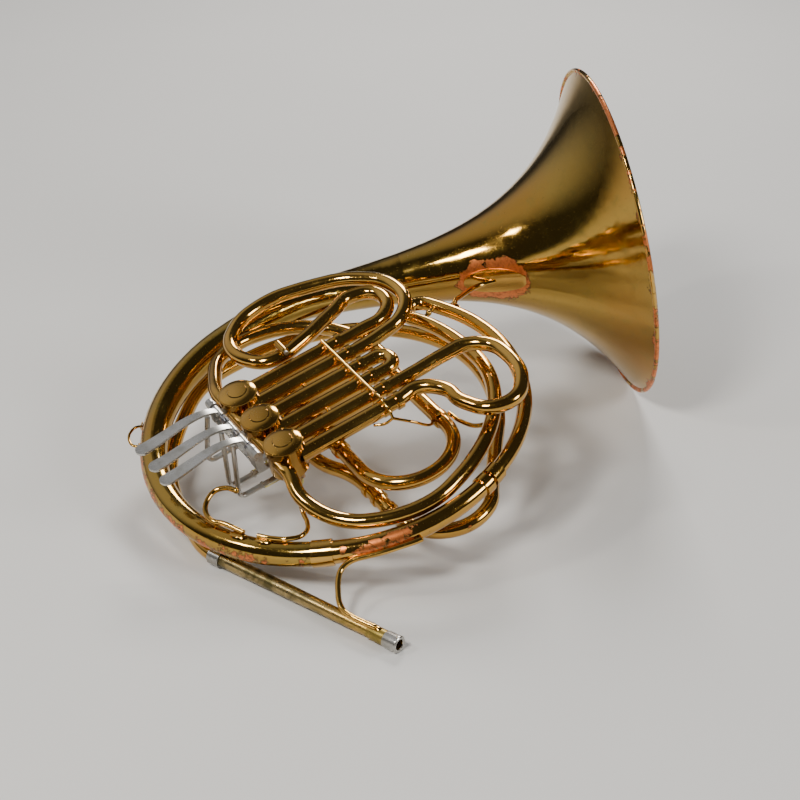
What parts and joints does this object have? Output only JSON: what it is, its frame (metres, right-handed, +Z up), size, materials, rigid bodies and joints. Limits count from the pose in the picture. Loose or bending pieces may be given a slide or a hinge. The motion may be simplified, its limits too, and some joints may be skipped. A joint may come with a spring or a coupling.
{
  "type": "french horn",
  "caption": "Single horn with a coiled tube, a wide flared bell, rotary valves worked by levers and strings, and pull-out slides; the bore takes a mouthpiece.",
  "frame": {"origin": "middle of the footprint, on the table, with the horn lying on its bell rim, mouthpiece receiver and mouthpipe ferrule", "axes": "+Z up from the table, +X to the player's right with the bell at +X, +Y away from the player's side"},
  "size_m": [0.4714, 0.637, 0.309],
  "materials": {
    "lacquered_brass": "lacquered, polished, worn through in places",
    "bare_brass": "machined, unlacquered",
    "worn_brass": "lacquer gone, tarnished by the hand",
    "nickel_silver": "polished nickel silver, dulled",
    "spring_steel": "blued wire",
    "string": "braided cord",
    "cork": "cut cork"
  },
  "bodies": {
    "horn": {"bearing_plates": "lacquered_brass", "bell": "lacquered_brass", "bell_brace": "lacquered_brass", "branch_ferrules": "lacquered_brass", "casing_1": "lacquered_brass", "casing_2": "lacquered_brass", "casing_3": "lacquered_brass", "coil_braces": "lacquered_brass", "cork_bumpers": "cork", "first_branch": "lacquered_brass", "hinge_rod": "nickel_silver", "inner_ring": "lacquered_brass", "knuckles": "lacquered_brass", "lead_bands": "lacquered_brass", "lead_ring": "lacquered_brass", "lead_riser": "lacquered_brass", "lever_bridge": "nickel_silver", "lever_springs": "spring_steel", "mouthpipe": "worn_brass", "mouthpipe_brace": "lacquered_brass", "mouthpipe_ferrule": "nickel_silver", "outer_ring": "lacquered_brass", "pinky_hook": "lacquered_brass", "receiver": "nickel_silver", "return_bend": "lacquered_brass", "return_bow": "lacquered_brass", "rim_bead": "lacquered_brass", "slide_braces": "lacquered_brass", "slide_sleeves_1": "lacquered_brass", "slide_sleeves_2": "lacquered_brass", "slide_sleeves_3": "lacquered_brass", "stop_plates": "lacquered_brass", "strap_ring": "lacquered_brass", "tuning_sleeves": "lacquered_brass", "valve_caps": "lacquered_brass", "valve_inlet": "lacquered_brass"},
    "tuning_slide": {"tuning_crook": "lacquered_brass"},
    "valve_slide_1": {"slide_crook_1": "lacquered_brass", "crook_bands_1": "lacquered_brass", "water_key_barrel": "lacquered_brass"},
    "valve_slide_2": {"slide_crook_2": "lacquered_brass", "crook_bands_2": "lacquered_brass"},
    "valve_slide_3": {"slide_crook_3": "lacquered_brass", "crook_bands_3": "lacquered_brass"},
    "water_key": {"water_key_button": "nickel_silver"},
    "valve_1": {"rotor_1": "bare_brass", "stop_arm_1": "bare_brass", "string_wrap_1": "string"},
    "key_1": {"lever_1": "nickel_silver", "string_1": "string"},
    "valve_2": {"rotor_2": "bare_brass", "stop_arm_2": "bare_brass", "string_wrap_2": "string"},
    "key_2": {"lever_2": "nickel_silver", "string_2": "string"},
    "valve_3": {"rotor_3": "bare_brass", "stop_arm_3": "bare_brass", "string_wrap_3": "string"},
    "key_3": {"lever_3": "nickel_silver", "string_3": "string"}
  },
  "joints": [
    {"name": "tuning_slide", "type": "slide", "parent": "horn", "child": "tuning_slide", "axis": [0.5258, -0.8424, -0.1183], "range_m": [0, 0.025]},
    {"name": "valve_slide_1", "type": "slide", "parent": "horn", "child": "valve_slide_1", "axis": [0.8276, 0.4744, 0.3002], "range_m": [0, 0.025]},
    {"name": "valve_slide_2", "type": "slide", "parent": "horn", "child": "valve_slide_2", "axis": [0.8276, 0.4744, 0.3002], "range_m": [0, 0.018]},
    {"name": "valve_slide_3", "type": "slide", "parent": "horn", "child": "valve_slide_3", "axis": [0.8276, 0.4744, 0.3002], "range_m": [0, 0.035]},
    {"name": "water_key", "type": "slide", "parent": "valve_slide_1", "child": "water_key", "axis": [-0.5258, 0.8424, 0.1183], "range_m": [0, 0.002]},
    {"name": "valve_1", "type": "hinge", "parent": "horn", "child": "valve_1", "pos_m": [-0.13589, -0.07726, 0.08427], "axis": [-0.1968, -0.2557, 0.9465], "range_deg": [0, 90]},
    {"name": "key_1", "type": "hinge", "parent": "horn", "child": "key_1", "pos_m": [-0.16254, -0.09596, 0.09903], "axis": [0.5258, -0.8424, -0.1183], "range_deg": [0, 13]},
    {"name": "valve_2", "type": "hinge", "parent": "horn", "child": "valve_2", "pos_m": [-0.11485, -0.11095, 0.07954], "axis": [-0.1968, -0.2557, 0.9465], "range_deg": [0, 90]},
    {"name": "key_2", "type": "hinge", "parent": "horn", "child": "key_2", "pos_m": [-0.14151, -0.12966, 0.0943], "axis": [0.5258, -0.8424, -0.1183], "range_deg": [0, 13]},
    {"name": "valve_3", "type": "hinge", "parent": "horn", "child": "valve_3", "pos_m": [-0.09383, -0.14465, 0.07481], "axis": [0.1968, 0.2557, -0.9465], "range_deg": [0, 90]},
    {"name": "key_3", "type": "hinge", "parent": "horn", "child": "key_3", "pos_m": [-0.12048, -0.16335, 0.08957], "axis": [0.5258, -0.8424, -0.1183], "range_deg": [0, 13]}
  ],
  "couplings": [
    {"joint": "key_1", "follows": "valve_1", "ratio": 0.1444},
    {"joint": "key_2", "follows": "valve_2", "ratio": 0.1444},
    {"joint": "key_3", "follows": "valve_3", "ratio": 0.1444}
  ]
}
